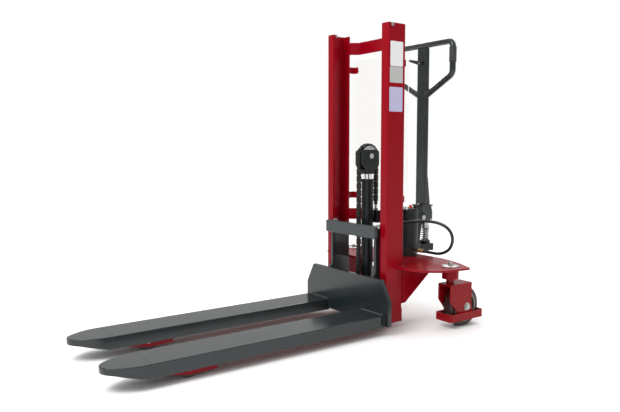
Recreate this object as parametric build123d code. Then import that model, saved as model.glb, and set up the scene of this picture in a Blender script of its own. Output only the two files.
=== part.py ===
from build123d import *
import os
from math import atan2, cos, radians, sin, tan

# Manual hydraulic pallet stacker, in millimetres. +Z is up, the forks point to -Y and +X is the right side.
# Every size is written about the mast: y = 0 is the rear face of the fork plate. finish() moves each piece so
# that the origin lies on the floor under the middle of the machine.

# Driving dimensions: forks and fork plate
fork_reach = 1199.0          # fork plate's rear face to the fork tips
fork_top = 89.0              # lowered height
fork_depth = 51.0
fork_width = 158.0
fork_centre = 191.0
fork_wall = 6.0
tip_length = 140.0
nose_radius = 44.0
tip_rise = 24.0
plate_thickness = 20.0
plate_half_top = 242.0
plate_half_bottom = 292.0
plate_top = 238.0
plate_corner = 148.0
plate_bottom = 43.0

# Mast uprights and crossbeams
mast_half = 210.0
mast_front = 42.0
mast_depth = 101.0
mast_top = 1325.0
mast_bottom = 28.0
mast_wall = 7.0
flange_width = 42.0
lip_depth = 25.0
beam_bow = 39.0
beam_wall = 6.0
top_beam_base = 1239.0
top_beam_height = 57.0
mid_beam_base = 452.0
mid_beam_height = 53.0
foot_plate_thickness = 12.0

# Support legs and load rollers
leg_width = 110.0
leg_wall = 6.0
leg_bottom = 41.0
leg_clearance = 3.0          # leg's top to the fork's inner roof
leg_reach = 985.0
cheek_length = 187.0
load_roller_radius = 36.0
load_roller_width = 88.0
load_roller_y = -900.0
load_axle_radius = 8.0

# Base plate, casters
base_top = 275.0
base_thickness = 9.0
base_half = 411.0
base_rear = 439.0
base_front = 103.0
gusset_thickness = 8.0
caster_x = 334.0
caster_y = 312.0
caster_trail = 72.0
caster_wheel_radius = 90.0
caster_wheel_width = 50.0
caster_axle_radius = 10.0
spindle_radius = 12.0
housing_radius = 37.0
housing_height = 45.0
neck_radius = 17.5
caster_fork_gap = 62.0
caster_fork_wall = 6.0
ring_half = 48.0
ring_front = 42.0
ring_rear = 170.0
ring_wall = 4.5
ring_base = 34.0
ring_height = 34.0

# Lift cylinder, piston and chain
lift_height = 911.0
cylinder_y = 114.0
barrel_radius = 27.0
barrel_wall = 5.0
barrel_top = 640.0
gland_radius = 29.0
gland_top = 655.0
rod_radius = 18.0
wheel_z = 760.0
chain_pitch_radius = 51.5
chain_width = 22.0
chain_depth = 15.0
sheave_width = 31.0
sheave_flange = 57.0
sheave_pin_radius = 8.0
yoke_gap = 33.0
yoke_wall = 8.0
yoke_depth = 102.0
yoke_bottom = 694.0
yoke_top = 789.0
back_anchor_z = 540.0
front_anchor_z = 215.0
anchor_bolt_radius = 6.0

# Carriage
crossbar_half = 173.0
crossbar_front = 5.0
crossbar_depth = 20.0
crossbar_base = 403.0
crossbar_height = 55.0
side_inner = 145.0
side_wall = 15.0
side_base = 100.0
side_top = 445.0
side_rear = 125.0
guide_roller_width = 24.0
guide_play = 0.3
guide_pin_radius = 10.0
lower_roller_z = 150.0
upper_roller_z = 345.0

# Guard sheet
guard_half = 191.0
guard_base = 523.0
guard_height = 691.0
guard_thickness = 4.0
lug_size = 30.0
lug_upper = 1167.0
lug_lower = 570.0
lug_thickness = 6.0

# Pump
pump_y = 370.0
foot_radius = 53.0
foot_height = 43.0
seat_radius = 60.0
seat_thickness = 8.0
tank_radius = 55.0
tank_wall = 3.0
tank_height = 174.0
lid_overhang = 2.0
lid_thickness = 7.0
arm_half = 30.0
arm_rear = 531.0
arm_base = 288.0
arm_top = 322.0
plunger_y = 495.0
plunger_radius = 11.0
sleeve_radius = 26.0
sleeve_height = 15.0
spring_height = 66.0
spring_radius = 18.0
spring_wire = 4.6
spring_turns = 5
retainer_radius = 22.0
retainer_thickness = 8.0
plunger_head_radius = 17.0
cap_radius = 9.5
cap_height = 15.0
plug_radius = 8.0
plug_height = 17.0

# Handle
pivot_y = 442.0
pivot_z = 458.0
pivot_pin_radius = 9.0
cheek_inner = 20.0
cheek_wall = 8.0
ear_gap = 5.0
ear_wall = 8.0
pressure_roller_radius = 14.0
pressure_roller_y = 503.0
pressure_roller_z = 443.0
roller_pin_radius = 6.0
bar_width = 60.0
bar_depth = 22.0
bar_wall = 3.0
bar_y = 467.0
bar_base = 518.0
loop_half = 186.5
loop_top = 1291.0
loop_low = 1140.0
loop_join = 1055.0
loop_tube = 14.0
loop_top_bend = 28.0
loop_low_bend = 36.0
grip_radius = 17.5
grip_base = 1194.0
grip_length = 68.0
lever_z = 1206.0
lever_length = 80.0
lever_thickness = 9.0

# Hose: the route from the pump's fitting to the cylinder's, chosen by hand
hose_radius = 7.0
fitting_radius = 9.0
port_z = 425.0
hose_route = [
    (97, 371, 307), (152, 371, 307), (212, 378, 305), (262, 389, 332), (276, 394, 384), (256, 386, 430),
    (208, 366, 454), (152, 340, 458), (96, 316, 453), (46, 292, 443), (15, 259, 432), (0, 216, 425), (0,
    176, 425),
]

# Fits
running_play = 0.05
rolling_gap = 0.3
side_gap = 0.5

# Worked out once, because several pieces share them
fork_bottom = fork_top - fork_depth
fork_inner = fork_width / 2 - fork_wall
leg_top = fork_top - fork_wall - leg_clearance
mast_back = mast_front + mast_depth
mast_inner = mast_half - mast_wall
flange_edge = mast_half - flange_width
guide_y = mast_front + mast_depth / 2
guide_radius = mast_depth / 2 - mast_wall - guide_play
base_bottom = base_top - base_thickness
beam_back = mast_back + beam_bow
caster_wheel_y = caster_y + caster_trail
seat_base = base_top + foot_height
tank_base = seat_base + seat_thickness
lid_base = tank_base + tank_height
spring_base = arm_top + sleeve_height
retainer_base = spring_base + spring_height
loop_path = [
    (bar_width / 4, loop_join - 10), (loop_half, loop_low), (loop_half, loop_top), (-loop_half, loop_top),
    (-loop_half, loop_low), (-bar_width / 4, loop_join - 10),
]
y_shift = (fork_reach - arm_rear) / 2
pieces = {}


def finish(node, *solids):
    """Keep a node's solids in the machine's own frame."""
    moved = [Pos(0, y_shift, 0) * solid for solid in solids]
    pieces[node] = moved[0] if len(moved) == 1 else Compound(children=moved)


def block(x0, x1, y0, y1, z0, z1):
    return Pos((x0 + x1) / 2, (y0 + y1) / 2, (z0 + z1) / 2) * Box(x1 - x0, y1 - y0, z1 - z0)


def round_x(y, z, radius, x0, x1):
    return Pos((x0 + x1) / 2, y, z) * Rot(0, 90, 0) * Cylinder(radius, abs(x1 - x0))


def round_y(x, z, radius, y0, y1):
    return Pos(x, (y0 + y1) / 2, z) * Rot(90, 0, 0) * Cylinder(radius, y1 - y0)


def round_z(x, y, radius, z0, z1):
    return Pos(x, y, (z0 + z1) / 2) * Cylinder(radius, z1 - z0)


def hex_z(x, y, across, z0, z1):
    return extrude(Pos(x, y, z0) * RegularPolygon(across / 2, 6, major_radius=False), z1 - z0)


def hex_x(y, z, across, x0, x1):
    return Pos(x0, y, z) * Rot(0, 90, 0) * extrude(RegularPolygon(across / 2, 6, major_radius=False), x1 - x0)


def prism_x(outline, x0, x1):
    """An outline of (y, z) points, solid from x0 to x1."""
    face = Plane(origin=(x0, 0, 0), x_dir=(0, 1, 0), z_dir=(1, 0, 0)) * Polygon(*outline, align=None)
    return extrude(face, x1 - x0, dir=(1, 0, 0))


def prism_y(outline, y0, y1):
    """An outline of (x, z) points, solid from y0 to y1."""
    face = Plane(origin=(0, y0, 0), x_dir=(1, 0, 0), z_dir=(0, -1, 0)) * Polygon(*outline, align=None)
    return extrude(face, y1 - y0, dir=(0, 1, 0))


def prism_z(outline, z0, z1):
    """An outline of (x, y) points, solid from z0 to z1."""
    return extrude(Pos(0, 0, z0) * Polygon(*outline, align=None), z1 - z0, dir=(0, 0, 1))


def mirrored(solid):
    return mirror(solid, about=Plane.YZ)


def pair(name, solid):
    """The right-hand piece and its mirror image, each in a node of its own."""
    finish(name + "_right", solid)
    finish(name + "_left", mirrored(solid))


def upright():
    """Cold-formed channel, open to the inside, whose front flange turns back as a lip."""
    section = block(flange_edge, mast_half, mast_front, mast_back, mast_bottom, mast_top)
    section = fillet(section.edges().filter_by(Axis.Z).group_by(Axis.X)[-1], mast_wall)
    section -= block(flange_edge + mast_wall, mast_inner, mast_front + mast_wall, mast_back - mast_wall, 0,
        mast_top + 1)
    section -= block(0, flange_edge + mast_wall + 1, mast_front + lip_depth, mast_back - mast_wall, 0,
        mast_top + 1)
    cope_radius = 12
    return section - round_x(mast_back, base_bottom / 2 - 36, cope_radius, mast_inner - 1, mast_half + 1)


def crossbeam(z0, height):
    """Flat bar joggled back behind the uprights, welded to their rear flanges."""
    bend_x = flange_edge - 25
    tab = mast_inner - 12
    outer = [(tab, mast_back), (tab, mast_back + beam_wall), (flange_edge, mast_back + beam_wall), (bend_x,
        beam_back)]
    inner = [(bend_x - 3, beam_back - beam_wall), (flange_edge - 3, mast_back)]
    rear = outer + [(-x, y) for x, y in reversed(outer)]
    front = [(-x, y) for x, y in reversed(inner)] + inner
    return prism_z(rear + front, z0, z0 + height)


def frame_steel():
    pair("mast_upright", upright())
    finish("top_crossbeam", crossbeam(top_beam_base, top_beam_height))
    finish("mid_crossbeam", crossbeam(mid_beam_base, mid_beam_height))
    foot = block(-mast_inner, mast_inner, mast_front + mast_wall, mast_back - mast_wall,
                 mast_bottom, mast_bottom + foot_plate_thickness)
    lip = block(flange_edge, flange_edge + mast_wall, mast_front, mast_front + lip_depth, 0, base_top)
    finish("mast_foot_plate", foot - lip - mirrored(lip))


def base_half_outline():
    """Right half of the base plate, from the mast round to the middle of the rear edge."""
    edge = [
        Line((0, mast_back), (mast_half, mast_back)),
        Line((mast_half, mast_back), (mast_half, base_front)),
        Line((mast_half, base_front), (mast_half + 52, base_front + 4)),
        ThreePointArc((mast_half + 52, base_front + 4), (base_half - 63, base_front + 44), (base_half - 16,
        212)),
        Line((base_half - 16, 212), (base_half, 338)),
        ThreePointArc((base_half, 338), (base_half - 2, 352), (base_half - 13, 362)),
        Line((base_half - 13, 362), (base_half - 99, 402)),
        ThreePointArc((base_half - 99, 402), (210, base_rear - 8), (96, base_rear)),
        Line((96, base_rear), (0, base_rear)),
        Line((0, base_rear), (0, mast_back)),
    ]
    return make_face(edge)


def base_steel():
    half = extrude(Pos(0, 0, base_bottom) * base_half_outline(), base_thickness, dir=(0, 0, 1))
    half -= round_z(caster_x, caster_y, spindle_radius + side_gap, base_bottom - 1, base_top + 1)
    finish("base_plate", half + mirrored(half))
    lower = base_bottom - 157
    gusset = prism_x([(mast_back, base_bottom), (mast_back + 219, base_bottom), (mast_back + 17, lower),
                      (mast_back, lower)], mast_half - gusset_thickness, mast_half)
    finish("gussets", gusset, mirrored(gusset))
    housing = round_z(caster_x, caster_y, housing_radius, base_bottom - housing_height, base_bottom)
    housing -= round_z(caster_x, caster_y, spindle_radius + running_play, 0, base_top)
    finish("caster_housings", housing, mirrored(housing))
    cap = round_z(caster_x, caster_y, housing_radius + 1, base_top, base_top + 8)
    cap = fillet(cap.edges().group_by(Axis.Z)[-1], 2.5)
    cap += hex_z(caster_x, caster_y, 19, base_top + 8, base_top + 17)
    finish("caster_caps", cap, mirrored(cap))


def leg():
    """Support leg: an inverted channel inside the fork, with deep cheeks for the load roller."""
    x0 = fork_centre - leg_width / 2
    x1 = fork_centre + leg_width / 2
    body = block(x0, x1, -leg_reach, mast_front, leg_bottom, leg_top)
    cheek_rear = -leg_reach + cheek_length
    body += prism_x([(-leg_reach, leg_bottom), (-leg_reach, leg_bottom - 11), (load_roller_y,
        leg_bottom - 27),
                     (cheek_rear, leg_bottom - 22), (cheek_rear, leg_bottom)], x0, x1)
    body -= block(x0 + leg_wall, x1 - leg_wall, -leg_reach - 1, mast_front - 2 * leg_wall, 0,
        leg_top - leg_wall + 1)
    return body - round_x(load_roller_y, load_roller_radius, load_axle_radius, x0 - 1, x1 + 1)


def legs():
    pair("support_leg", leg())
    half_roller = load_roller_width / 2
    roller = round_x(load_roller_y, load_roller_radius, load_roller_radius,
                     fork_centre - half_roller, fork_centre + half_roller)
    roller = chamfer(roller.edges().filter_by(GeomType.CIRCLE), 3)
    bore = load_axle_radius + running_play
    pair("load_roller", roller - round_x(load_roller_y, load_roller_radius, bore, 0, base_half))


def guard():
    finish("guard_sheet", block(-guard_half, guard_half, beam_back - 3, beam_back - 3 + guard_thickness,
                                guard_base, guard_base + guard_height))
    lugs = []
    bolts = []
    lug_x = mast_half - lug_size - 10
    for z in (lug_upper, lug_lower):
        foot = block(lug_x, lug_x + lug_size, mast_back, mast_back + lug_thickness, z - lug_size / 2,
            z + lug_size / 2)
        ear = block(lug_x, lug_x + lug_thickness, mast_back, beam_back - 3, z - lug_size / 2,
            z + lug_size / 2)
        tab = block(lug_x - lug_size + 8, lug_x, beam_back - 3 - lug_thickness, beam_back - 3,
                    z - lug_size / 2, z + lug_size / 2)
        lugs += [foot + ear + tab]
        bolts += [round_y(lug_x - 10, z, 8, beam_back - 3 + guard_thickness, beam_back + 6)]
    finish("guard_lugs", *lugs, *[mirrored(lug) for lug in lugs])
    stop_z = mast_top - 9
    stop = round_x(mast_front + lip_depth / 2 + 6, stop_z, 5, flange_edge - 4, mast_inner)
    stop -= block(flange_edge, flange_edge + mast_wall, mast_front, mast_front + lip_depth, stop_z - 9,
        stop_z + 9)
    head = hex_x(mast_front + lip_depth / 2 + 6, stop_z, 15, mast_half, mast_half + 7)
    bolts += [piece for piece in stop.solids()] + [head]
    anchor = round_z(0, cylinder_y + chain_pitch_radius, anchor_bolt_radius,
        mid_beam_base + mid_beam_height + 3,
                     back_anchor_z)
    anchor += hex_z(0, cylinder_y + chain_pitch_radius, 18, mid_beam_base + mid_beam_height + 3,
                    mid_beam_base + mid_beam_height + 13)
    half_leg = leg_width / 2
    bolts += [round_x(load_roller_y, load_roller_radius, load_axle_radius, fork_centre - half_leg,
        fork_centre + half_leg)]
    finish("frame_bolts", *bolts, *[mirrored(bolt) for bolt in bolts], anchor)


def cylinder():
    base = mast_bottom + foot_plate_thickness
    bore_radius = barrel_radius - barrel_wall
    barrel = round_z(0, cylinder_y, barrel_radius, base, barrel_top)
    finish("cylinder_barrel", barrel - round_z(0, cylinder_y, bore_radius, base + 12, barrel_top + 1))
    gland = round_z(0, cylinder_y, gland_radius, barrel_top, gland_top)
    finish("cylinder_gland", gland - round_z(0, cylinder_y, rod_radius + running_play, barrel_top - 1,
        gland_top + 1))
    strand_y = cylinder_y + chain_pitch_radius
    bracket = block(-27, 27, strand_y - 14, beam_back - beam_wall, mid_beam_base - 2,
        mid_beam_base + mid_beam_height + 3)
    finish("chain_anchor_bracket", bracket)
    head = round_z(0, cylinder_y, bore_radius - running_play, base + 22, base + 52)
    finish("piston_rod", head + round_z(0, cylinder_y, rod_radius, base + 22, yoke_bottom - 16))


def yoke_plate():
    front = cylinder_y - yoke_depth / 2 - 2
    rear = front + yoke_depth
    cut = 26
    outline = [(front + cut, yoke_bottom), (rear - cut, yoke_bottom), (rear, yoke_bottom + cut), (rear,
        yoke_top),
               (front, yoke_top), (front, yoke_bottom + cut)]
    plate = prism_x(outline, yoke_gap / 2, yoke_gap / 2 + yoke_wall)
    return fillet(plate.edges().filter_by(Axis.X).group_by(Axis.Z)[-1], 16)


def chain_wheel():
    plate = yoke_plate()
    seat = block(-yoke_gap / 2 - yoke_wall, yoke_gap / 2 + yoke_wall, cylinder_y - 24, cylinder_y + 24,
                 yoke_bottom - 16, yoke_bottom)
    seat += block(-yoke_gap / 2, yoke_gap / 2, cylinder_y - 24, cylinder_y + 24, yoke_bottom - 1,
        yoke_bottom + 4)
    yoke = plate + mirrored(plate) + seat
    finish("chain_wheel_yoke", yoke - round_x(cylinder_y, wheel_z, sheave_pin_radius, -50, 50))
    reach = yoke_gap / 2 + yoke_wall
    pin = round_x(cylinder_y, wheel_z, sheave_pin_radius, -reach, reach)
    heads = [round_x(cylinder_y, wheel_z, sheave_pin_radius + 4, side * reach, side * (reach + 4))
        for side in (-1, 1)]
    finish("chain_wheel_pin", pin + heads[0] + heads[1])
    groove = chain_pitch_radius - chain_depth / 2 - rolling_gap
    wheel = round_x(cylinder_y, wheel_z, sheave_flange, -sheave_width / 2, sheave_width / 2)
    channel = round_x(cylinder_y, wheel_z, sheave_flange + 1, -chain_width / 2 - side_gap,
        chain_width / 2 + side_gap)
    channel -= round_x(cylinder_y, wheel_z, groove, -chain_width, chain_width)
    finish("chain_wheel", wheel - channel - round_x(cylinder_y, wheel_z, sheave_pin_radius + running_play,
        -50, 50))


def chain():
    half = chain_width / 2
    inner = chain_pitch_radius - chain_depth / 2
    outer = chain_pitch_radius + chain_depth / 2
    wrap = round_x(cylinder_y, wheel_z, outer, -half, half) - round_x(cylinder_y, wheel_z, inner, -50, 50)
    finish("chain_wrap", wrap - block(-50, 50, cylinder_y - 100, cylinder_y + 100, wheel_z - 100, wheel_z))
    finish("chain_front", block(-half, half, cylinder_y - outer, cylinder_y - inner, front_anchor_z, wheel_z))
    finish("chain_back", block(-half, half, cylinder_y + inner, cylinder_y + outer, back_anchor_z, wheel_z))


def fork():
    """Pressed channel, open below, with a solid rounded tip that rises towards the nose."""
    half = fork_width / 2
    tip_start = -fork_reach + tip_length
    # The side arcs leave the straight sides and run into the nose arc without a corner.
    run = tip_length - nose_radius
    step = half - nose_radius
    centre_gap = (run ** 2 + step ** 2) / (2 * step)
    side_radius = centre_gap + nose_radius
    turn = atan2(run, centre_gap - step)
    joint = (nose_radius * cos(turn), -fork_reach + nose_radius - nose_radius * sin(turn))
    middle = (half - side_radius + side_radius * cos(turn / 2), tip_start - side_radius * sin(turn / 2))
    edge = [
        Line((-half, -plate_thickness), (half, -plate_thickness)),
        Line((half, -plate_thickness), (half, tip_start)),
        ThreePointArc((half, tip_start), middle, joint),
        ThreePointArc(joint, (0, -fork_reach), (-joint[0], joint[1])),
        ThreePointArc((-joint[0], joint[1]), (-middle[0], middle[1]), (-half, tip_start)),
        Line((-half, tip_start), (-half, -plate_thickness)),
    ]
    body = extrude(Pos(fork_centre, 0, fork_bottom) * make_face(edge), fork_depth, dir=(0, 0, 1))
    body = fillet(body.edges().group_by(Axis.Z)[-1], 4)
    rise_end = -fork_reach + 36
    under = [(tip_start, fork_bottom), (rise_end, fork_bottom + tip_rise), (-fork_reach - 1,
        fork_bottom + tip_rise + 4),
             (-fork_reach - 1, fork_bottom - 1), (tip_start, fork_bottom - 1)]
    body -= prism_x(under, 0, base_half)
    return body - block(fork_centre - fork_inner, fork_centre + fork_inner, tip_start + 6, 0, 0,
        fork_top - fork_wall)


def fork_plate():
    half = [(plate_half_bottom, plate_bottom), (plate_half_bottom, plate_corner), (plate_half_top, plate_top)]
    plate = prism_y(half + [(-x, z) for x, z in reversed(half)], -plate_thickness, 0)
    notch_half = leg_width / 2 + 10
    notch = block(fork_centre - notch_half, fork_centre + notch_half, -plate_thickness - 1, 1, 0, leg_top + 6)
    return plate - notch - mirrored(notch)


def carriage():
    pair("fork", fork())
    finish("fork_plate", fork_plate())
    bar = block(-crossbar_half, crossbar_half, crossbar_front, crossbar_front + crossbar_depth,
                crossbar_base, crossbar_base + crossbar_height)
    finish("carriage_crossbar", fillet(bar.edges().filter_by(Axis.Y), 8))
    front = crossbar_front + crossbar_depth
    side = prism_x([(0, side_base), (side_rear, side_base), (side_rear, side_top), (front, side_top),
                    (front, plate_top + 12), (0, plate_top - 13)], side_inner, side_inner + side_wall)
    pair("carriage_side", side)
    strand_y = cylinder_y - chain_pitch_radius
    bar = block(-side_inner, side_inner, strand_y - 13, strand_y + 13, lower_roller_z, lower_roller_z + 16)
    bar -= round_z(0, strand_y, anchor_bolt_radius, 0, 300)
    bolt = round_z(0, strand_y, anchor_bolt_radius, lower_roller_z - 20, front_anchor_z)
    for z in (lower_roller_z - 11, lower_roller_z + 16):
        bolt += hex_z(0, strand_y, 19, z, z + 11)
    finish("front_chain_anchor", bar, bolt)
    pins = []
    for name, z in (("lower", lower_roller_z), ("upper", upper_roller_z)):
        pin = round_x(guide_y, z, guide_pin_radius, side_inner + side_wall, mast_inner - side_gap)
        pin += round_x(guide_y, z, guide_pin_radius + 5, side_inner + side_wall, flange_edge + mast_wall)
        pins += [pin, mirrored(pin)]
        inner = flange_edge + mast_wall + side_gap
        roller = round_x(guide_y, z, guide_radius, inner, inner + guide_roller_width)
        roller = chamfer(roller.edges().filter_by(GeomType.CIRCLE), 2)
        roller -= round_x(guide_y, z, guide_pin_radius + running_play, 0, base_half)
        finish("guide_rollers_" + name, roller, mirrored(roller))
    finish("guide_roller_pins", *pins)


def caster():
    """Swivel fork with its guard ring, made about its own swivel axis."""
    inner = caster_fork_gap / 2
    outer = inner + caster_fork_wall
    neck_top = base_bottom - housing_height - side_gap
    crown = neck_top - 22
    wheel_z_here = caster_wheel_radius
    front = -36
    rear = caster_trail + 30
    plate = prism_x([(front, crown), (front, crown - 72), (15, 64), (33, 50), (rear + 6, 50), (rear + 6, 80),
                     (rear, 100), (rear, crown)], inner, outer)
    body = plate + mirrored(plate)
    body += block(-outer, outer, front, rear, crown - 8, crown)
    body += round_z(0, 0, neck_radius, crown, neck_top) + round_z(0, 0, spindle_radius, neck_top,
        base_top - 1)
    ring = block(-ring_half, ring_half, -ring_front, ring_rear, ring_base, ring_base + ring_height)
    ring = fillet(ring.edges().filter_by(Axis.Z), 12)
    hollow = block(-ring_half + ring_wall, ring_half - ring_wall, -ring_front + ring_wall,
        ring_rear - ring_wall,
                   0, crown)
    ring -= fillet(hollow.edges().filter_by(Axis.Z), 12 - ring_wall)
    link = block(outer, ring_half - ring_wall, 33, rear, 50, ring_base + ring_height)
    body += ring + link + mirrored(link)
    body -= round_x(caster_trail, wheel_z_here, caster_axle_radius, -outer - 1, outer + 1)
    axle = round_x(caster_trail, wheel_z_here, caster_axle_radius, -outer, outer)
    for side in (-1, 1):
        axle += hex_x(caster_trail, wheel_z_here, 24, min(side * outer, side * (outer + 7)),
            max(side * outer, side * (outer + 7)))
    half = caster_wheel_width / 2
    profile = [(caster_axle_radius + running_play, -half), (26, -half), (32, -half + 8), (62, -half + 8),
        (68, -half + 2),
               (caster_wheel_radius - 5, -half + 2), (caster_wheel_radius, -half + 7)]
    section = Plane(origin=(0, caster_trail, wheel_z_here), x_dir=(0, 1, 0), z_dir=(0, 0, 1)) * Polygon(
        *(profile + [(r, -x) for r, x in reversed(profile)]), align=None)
    wheel = revolve(section, Axis((0, caster_trail, wheel_z_here), (1, 0, 0)))
    return body, axle, wheel


def casters():
    for name, x in (("right", caster_x), ("left", -caster_x)):
        body, axle, wheel = [Pos(x, caster_y, 0) * solid for solid in caster()]
        finish("caster_fork_" + name, body)
        finish("caster_axle_" + name, axle)
        finish("caster_wheel_" + name, wheel)


def pump():
    finish("pump_foot", round_z(0, pump_y, foot_radius, base_top, seat_base))
    block_body = round_z(0, pump_y, seat_radius, seat_base, tank_base)
    arm = block(-arm_half, arm_half, pump_y, arm_rear, arm_base, arm_top)
    arm = fillet(arm.edges().filter_by(Axis.Z).group_by(Axis.Y)[-1], 8)
    arm -= round_z(0, pump_y, foot_radius, 0, seat_base)
    block_body += arm + round_z(0, plunger_y, sleeve_radius, arm_top, spring_base)
    block_body += handle_ear() + mirrored(handle_ear())
    finish("pump_block", block_body - round_z(0, plunger_y, plunger_radius + running_play, arm_base + 2,
        spring_base + 1))
    tank = round_z(0, pump_y, tank_radius, tank_base, lid_base)
    finish("oil_tank", tank - round_z(0, pump_y, tank_radius - tank_wall, tank_base - 1, lid_base + 1))
    lid = round_z(0, pump_y, tank_radius + lid_overhang, lid_base, lid_base + lid_thickness)
    finish("tank_lid", fillet(lid.edges().group_by(Axis.Z)[-1], 2))
    lid_top = lid_base + lid_thickness
    finish("filler_cap", round_z(15, pump_y + 8, cap_radius, lid_top, lid_top + cap_height))
    finish("breather_plug", round_z(20, pump_y + 32, plug_radius, lid_top, lid_top + plug_height))
    head_base = retainer_base + retainer_thickness
    head_top = pressure_roller_z - pressure_roller_radius - rolling_gap
    plunger = round_z(0, plunger_y, plunger_radius, spring_base - 8, retainer_base)
    plunger += round_z(0, plunger_y, retainer_radius, retainer_base, head_base)
    plunger += round_z(0, plunger_y, plunger_head_radius, head_base, head_top)
    finish("pump_plunger", plunger)
    coil = round_z(0, plunger_y, spring_radius + spring_wire / 2, spring_base, retainer_base)
    finish("plunger_spring", coil - round_z(0, plunger_y, spring_radius - spring_wire / 2, 0, barrel_top))


def handle_ear():
    """Ear of the pump's casting that carries one end of the handle's pivot pin."""
    ear_inner = cheek_inner + cheek_wall + ear_gap
    ear = prism_x([(pump_y + 30, tank_base), (pump_y + 47, tank_base), (pump_y + 58, 420), (pivot_y + 14,
        440),
                   (pivot_y + 16, 474), (pump_y + 52, lid_base - 2), (pump_y + 30, lid_base - 2)],
                  ear_inner, ear_inner + ear_wall)
    ear -= round_z(0, pump_y, tank_radius, 0, mast_top)
    return ear - round_x(pivot_y, pivot_z, pivot_pin_radius, 0, 60)


def pivot_pin():
    reach = cheek_inner + cheek_wall + ear_gap + ear_wall
    pin = round_x(pivot_y, pivot_z, pivot_pin_radius, -reach, reach)
    for side in (-reach - 3, reach):
        pin += round_x(pivot_y, pivot_z, pivot_pin_radius + 3, side, side + 3)
    finish("pivot_pin", pin)


def handle_socket():
    top = bar_base - 6
    cheek = prism_x([(430, pivot_z - 6), (430, pivot_z + 12), (446, top), (508, top), (516, 480), (516, 436),
                     (505, 432), (460, 444)], cheek_inner, cheek_inner + cheek_wall)
    body = cheek + mirrored(cheek)
    body += round_x(pivot_y, pivot_z, 13, -cheek_inner - cheek_wall, cheek_inner + cheek_wall)
    body += block(-38, 38, 440, 508, top, bar_base)
    body -= round_x(pivot_y, pivot_z, pivot_pin_radius + running_play, -60, 60)
    return body - round_x(pressure_roller_y, pressure_roller_z, roller_pin_radius, -60, 60)


def handle():
    finish("handle_socket", handle_socket())
    roller = round_x(pressure_roller_y, pressure_roller_z, pressure_roller_radius, -cheek_inner + 1,
        cheek_inner - 1)
    finish("pressure_roller", roller - round_x(pressure_roller_y, pressure_roller_z,
        roller_pin_radius + running_play, -60, 60))
    half = bar_width / 2
    front = bar_y - bar_depth / 2
    bar_top = loop_top - loop_tube
    solid_bar = block(-half, half, front, front + bar_depth, bar_base, bar_top)
    hollow = block(-half + bar_wall, half - bar_wall, front + bar_wall, front + bar_depth - bar_wall,
                   bar_base - 1, bar_top + 1)
    rounded = fillet(solid_bar.edges().filter_by(Axis.Z), 3)
    finish("tow_bar", rounded - hollow)
    frame = Plane(origin=(0, bar_y, 0), x_dir=(1, 0, 0), z_dir=(0, -1, 0))
    corners = loop_path[1:-1]
    bends = [loop_low_bend, loop_top_bend, loop_top_bend, loop_low_bend]
    start = Vector(*loop_path[0])
    path = []
    for index, (corner, bend) in enumerate(zip(corners, bends)):
        corner = Vector(*corner)
        before = (Vector(*loop_path[index]) - corner).normalized()
        after = (Vector(*loop_path[index + 2]) - corner).normalized()
        half_turn = radians((180 - before.get_angle(after)) / 2)
        inset = bend * tan(half_turn)
        centre = corner + (before + after).normalized() * (bend / cos(half_turn))
        middle = centre - (before + after).normalized() * bend
        path += [Line(start, corner + before * inset)]
        path += [ThreePointArc(corner + before * inset, middle, corner + after * inset)]
        start = corner + after * inset
    path += [Line(start, Vector(*loop_path[-1]))]
    wire = frame * Wire(path)
    tube = sweep(Plane(origin=wire @ 0, z_dir=wire % 0) * Circle(loop_tube), path=wire)
    finish("handle_loop", tube - solid_bar)
    grip = round_z(loop_half, bar_y, grip_radius, grip_base, grip_base + grip_length)
    grip = fillet(grip.edges().filter_by(GeomType.CIRCLE), 3)
    grip -= round_z(loop_half, bar_y, loop_tube + running_play, 0, mast_top)
    finish("hand_grips", grip, mirrored(grip))
    lever_front = front - lever_thickness
    lever = prism_y([(8, lever_z - 9), (8, lever_z + 7), (-14, lever_z + 12), (-lever_length, lever_z + 26),
                     (-lever_length - 4, lever_z + 16), (-16, lever_z - 7)], lever_front, front)
    lever = fillet(lever.edges().filter_by(Axis.Y), 3)
    finish("control_lever", lever - round_y(-8, lever_z, 4 + running_play, 0, base_rear + 200))
    pins = [round_x(pressure_roller_y, pressure_roller_z, roller_pin_radius, -cheek_inner - cheek_wall - 4,
                    cheek_inner + cheek_wall + 4)]
    pins += [round_y(-8, lever_z, 4, lever_front - 4, front)]
    pins += [hex_z(0, y, 13, bar_base, bar_base + 6) for y in (447, 493)]
    finish("handle_pins", *pins)


def hose():
    """Hydraulic hose from the pump's fitting to the port of the lift cylinder."""
    points = [Vector(*point) for point in hose_route]
    radii = []
    for before, corner, after in zip(points, points[1:], points[2:]):
        turn = (corner - before).get_angle(after - corner)
        shorter = min((corner - before).length, (after - corner).length)
        radii += [0.45 * shorter / tan(radians(turn / 2))]
    print("hose bend radii", [round(radius) for radius in radii])
    path = FilletPolyline(*points, radius=radii)
    tube = sweep(Plane(origin=path @ 0, z_dir=path % 0) * Circle(hose_radius), path=path)
    print("hose length", round(path.length), "volume ratio",
        round(tube.volume / (path.length * 3.14159 * hose_radius ** 2), 4))
    finish("hydraulic_hose", tube)
    x, y, z = hose_route[0]
    pump_end = round_x(y, z, fitting_radius, x - 24, x) + round_x(y, z, fitting_radius - 2, 0, x)
    pump_end -= round_z(0, pump_y, foot_radius, 0, base_half)
    x, y, z = hose_route[-1]
    port = round_y(x, z, fitting_radius, y - 24, y) + round_y(x, z, fitting_radius - 2, cylinder_y, y)
    port -= round_z(0, cylinder_y, barrel_radius, 0, mast_top)
    finish("hose_fittings", pump_end, port)


frame_steel()
base_steel()
legs()
guard()
cylinder()
chain_wheel()
chain()
carriage()
casters()
pump()
pivot_pin()
handle()
hose()
os.makedirs("parts", exist_ok=True)
for node, shape in pieces.items():
    export_step(shape, "parts/" + node + ".step")
print(len(pieces), "nodes, y shift", y_shift)
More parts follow.
